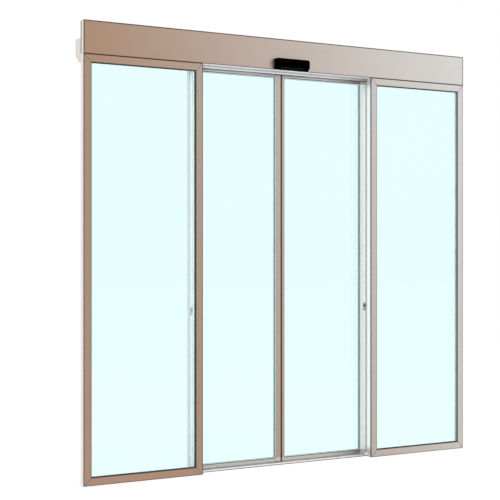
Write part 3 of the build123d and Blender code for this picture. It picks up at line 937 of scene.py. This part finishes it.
fin_brush_end = fin_end + FIN_BRUSH_REACH
fin_brush = start_block("right_draught_brush", (FIN_MIDDLE - FIN_BRUSH_HALF, fin_end, rail_low.z + BAR_FACE),
                        (FIN_MIDDLE + FIN_BRUSH_HALF, fin_brush_end, top_high.z - BAR_FACE))
cut_tufts(fin_brush, 2, lambda spot: spot.y > fin_brush_end - NEAR, (0, -FIN_DRAW, 0))
left_fin_brush = copy_piece(fin_brush, "left_draught_brush", mirrored=True)
hand_over(fin_brush, "frame", grey_pile)
hand_over(left_fin_brush, "frame", lit_pale_pile)

# %% [markdown]
# The last brush hangs from the foot of the track's lip, in front of the leaves. It is short, and its near-black tone
# stands in for the painted shade in the gap between the lip and the leaves; it shows as the line under the soffit.

# %% Brush on the lip of the track
TRACK_BRUSH_DROP = 0.0018
TRACK_BRUSH_THICKNESS = 0.003
LIP_BEVEL = 0.0015
shade_dark_pile = moulded("shade_dark_pile", tone(30, 30, 32), PILE, PILE_SHINE)

track_brush_front = LIP_FRONT + LIP_BEVEL
track_brush_foot = track_low.z - TRACK_BRUSH_DROP
track_brush = start_block(
    "track_brush", (track_low.x + SEAL_END_GAP, track_brush_front, track_brush_foot),
    (track_high.x - SEAL_END_GAP, track_brush_front + TRACK_BRUSH_THICKNESS, track_low.z))
cut_tufts(track_brush, 0, lambda spot: spot.z < track_brush_foot + NEAR, (0, 0, PILE_DRAW))
hand_over(track_brush, "frame", shade_dark_pile)

# %% [markdown]
# ## Closing lip
# Where the leaves meet, a thin rubber lip on the left leaf fills the last gap between the two seals, so that no light
# shows through. It is a block whose two free edges are rounded over, as on the moulded strip.

# %% The lip between the leaves
LIP_HALF_DEPTH = 0.0035
LIP_ROUND = 0.0006
left_seal_low, left_seal_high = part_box("left_leaf_meeting_seal")
lip_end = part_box("right_leaf_meeting_seal")[0].x - NEAR
lip = start_block("closing_lip", (left_seal_high.x - LIP_ROUND, -LIP_HALF_DEPTH, left_seal_low.z),
                  (lip_end, LIP_HALF_DEPTH, left_seal_high.z))
pick(lip, "EDGE", lambda middle, along: abs(along.z) > FACE_NORMAL and middle.x > lip_end - NEAR)
bpy.ops.mesh.bevel(offset=LIP_ROUND, segments=3)
leave_edit()
hand_over(lip, "left_leaf", seal_rubber)

# %% [markdown]
# ## Sill bead
# A bead of grey sealant runs along the foot of the sill, where it meets the floor. It is a thin bar with its upper edge
# rounded, like a bead that a finger has smoothed.

# %% Sealant along the foot of the sill
BEAD_SIZE = 0.003
BEAD_ROUND = 0.0021
SILL_STEP_Y = -0.0435
SILL_STEP_HALF = 0.581
sealant = moulded("sealant", tone(60, 63, 65))

bead = start_block("sill_bead", (-SILL_STEP_HALF, SILL_STEP_Y - BEAD_SIZE, cad_low.z),
                   (SILL_STEP_HALF, SILL_STEP_Y, cad_low.z + BEAD_SIZE))
pick(bead, "EDGE", lambda middle, along: abs(along.x) > FACE_NORMAL and middle.z > cad_low.z + NEAR
     and middle.y < SILL_STEP_Y - NEAR)
bpy.ops.mesh.bevel(offset=BEAD_ROUND, segments=4)
leave_edit()
hand_over(bead, "frame", sealant)

# %% [markdown]
# ## Key plugs
# In the recess of each lock sits the dark plug that the key turns. A disc is dished by an inset and an extrude, and a
# second inset, squeezed to a slot and pushed in, gives the keyway. Cutting the slot with a boolean would work too, but
# leaves a mesh that is harder to bevel.

# %% Plugs in the locks
PLUG_RADIUS = 0.0062
PLUG_THICKNESS = 0.0016
PLUG_RIM = 0.0008
PLUG_DISH = 0.0004
KEYWAY_INSET = 0.001
KEYWAY_SQUEEZE = 0.28
KEYWAY_DEPTH = 0.0009
LOCK_RECESS = 0.003
CYLINDER_RISE = 0.007
plug_metal = plain_metal("plug_metal", tone(62, 58, 54), LINES_ROUND, BLASTED, metallic=0.5)

lock_low, lock_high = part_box("right_leaf_lock")
plug_middle = Vector(((lock_low.x + lock_high.x) / 2, lock_low.y + LOCK_RECESS - PLUG_THICKNESS / 2,
                      (lock_low.z + lock_high.z) / 2 + CYLINDER_RISE))
plug = start_disc("right_key_plug", plug_middle, PLUG_RADIUS, PLUG_THICKNESS, (math.radians(90), 0, 0))
pick(plug, "FACE", lambda middle, normal: normal.y < -FACE_NORMAL)
bpy.ops.mesh.inset(thickness=PLUG_RIM)
bpy.ops.mesh.extrude_region_move(TRANSFORM_OT_translate={"value": (0, PLUG_DISH, 0)})
bpy.ops.mesh.inset(thickness=KEYWAY_INSET)
bpy.ops.transform.resize(value=(KEYWAY_SQUEEZE, 1, 1), center_override=plug_middle)
bpy.ops.mesh.extrude_region_move(TRANSFORM_OT_translate={"value": (0, KEYWAY_DEPTH, 0)})
leave_edit()
left_plug = copy_piece(plug, "left_key_plug", mirrored=True)
hand_over(plug, "right_leaf", plug_metal)
hand_over(left_plug, "left_leaf", plug_metal)

# %% [markdown]
# ## Sensor window
# The slanted underside of the sensor has a glossy window that the sensing rays pass through. A plate with rounded
# corners gets a sunk middle by an inset and an extrude, and is then turned to lie in the slope.

# %% The window in the slope
WINDOW_WIDTH = 0.150
WINDOW_HEIGHT = 0.014
WINDOW_THICKNESS = 0.0012
WINDOW_CORNER = 0.004
WINDOW_RIM = 0.0012
WINDOW_SINK = 0.0003
SLOPE_FOOT = Vector((0, -0.1105, 2.133))
SLOPE_HEAD = Vector((0, -0.1335, 2.152))
window_gloss = moulded("window_gloss", tone(3, 3, 4), roughness=(0.15, 0.25), shine=0.05)

half_window = Vector((WINDOW_WIDTH, WINDOW_THICKNESS, WINDOW_HEIGHT)) / 2
window = start_block("sensor_window", -half_window, half_window)
pick(window, "EDGE", lambda middle, along: abs(along.y) > FACE_NORMAL)
bpy.ops.mesh.bevel(offset=WINDOW_CORNER, segments=4)
pick(window, "FACE", lambda middle, normal: normal.y < -FACE_NORMAL)
bpy.ops.mesh.inset(thickness=WINDOW_RIM)
bpy.ops.mesh.extrude_region_move(TRANSFORM_OT_translate={"value": (0, WINDOW_SINK, 0)})
leave_edit()
rise = (SLOPE_HEAD - SLOPE_FOOT).normalized()
window.rotation_euler = (math.atan2(-rise.y, rise.z), 0, 0)
window.location = (SLOPE_FOOT + SLOPE_HEAD) / 2
settle("sensor_window")
hand_over(window, "frame", window_gloss)

# %% [markdown]
# ## Grip ribs
# The sill in front of the leaves has low ribs, so that shoes don't slip on wet metal. A rib is a thin bar with its two
# upper edges taken off. One is shaped, and the others are copies a pitch apart.

# %% Ribs on the sill
RIB_WIDTH = 0.0014
RIB_HEIGHT = 0.0006
RIB_ROUND = 0.00036
RIB_PITCH = 0.006
RIB_COUNT = 4
RIB_FRONT = -0.0375
RIB_END_GAP = 0.02

rib = start_block("rib", (sill_low.x + RIB_END_GAP, RIB_FRONT, sill_high.z - RIB_HEIGHT / 2),
                  (sill_high.x - RIB_END_GAP, RIB_FRONT + RIB_WIDTH, sill_high.z + RIB_HEIGHT))
pick(rib, "EDGE", lambda middle, along: abs(along.x) > FACE_NORMAL and middle.z > sill_high.z + NEAR)
bpy.ops.mesh.bevel(offset=RIB_ROUND, segments=2)
leave_edit()
ribs = [copy_piece(rib, "rib_copy", (0, RIB_PITCH * step, 0)) for step in range(1, RIB_COUNT)]
ribs = join_pieces([rib] + ribs, "sill_ribs")
hand_over(ribs, "frame", sill_metal)

# %% [markdown]
# ## Corner plates
# At the foot and at the head of each leaf stile the grey of the rails goes on, as if a plate covered the corner joint.
# Painting the ends would be quicker, but a plate has an edge that catches the light. It is a thin block with its outer
# rim taken off, and a copy is turned round for the back. The stiles differ in width, so each has plates of its own.

# %% Plates on the ends of the stiles
PLATE_THICKNESS = 0.0006
PLATE_MARGIN = 0.0012
PLATE_RIM = 0.0003
HALF_TURN = (0, 0, math.pi)
plate_light = plain_metal("plate_light", tone(198, 191, 185), LINES_ACROSS, SATIN, metallic=0.6, dark_edge=leaf_foot)
# Painted light: the outer plates are lighter than the meeting ones, against the shade beside the jamb.
plate_lit_grey = plain_metal("plate_lit_grey", tone(210, 211, 205), LINES_ACROSS, SATIN, metallic=0.6)
PLATES = (("meeting", "champagne_aluminium", plate_light), ("outer", "pale_aluminium", plate_lit_grey))

for side in ("left", "right"):
    for stile, slot, metal in PLATES:
        stile_low, stile_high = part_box(side + "_leaf_" + stile + "_stile")
        plate_front = stile_low.y - PLATE_THICKNESS
        plates = []
        for foot, head in ((stile_low.z, leaf_foot_edge), (leaf_top_edge, stile_high.z)):
            plate = start_block("plate", (stile_low.x + PLATE_MARGIN, plate_front, foot),
                                (stile_high.x - PLATE_MARGIN, stile_low.y, head))
            pick(plate, "EDGE", lambda middle, along: middle.y < plate_front + NEAR)
            bpy.ops.mesh.bevel(offset=PLATE_RIM, segments=2)
            leave_edit()
            plates += [plate, copy_piece(plate, "plate_behind", (stile_low.x + stile_high.x, 0, 0), HALF_TURN)]
        plates = join_pieces(plates, side + "_leaf_" + stile + "_plates")
        hand_over(plates, side + "_leaf", metal)

# %% Write the sizes and finish
print("cad box", tuple(cad_low), tuple(cad_high))
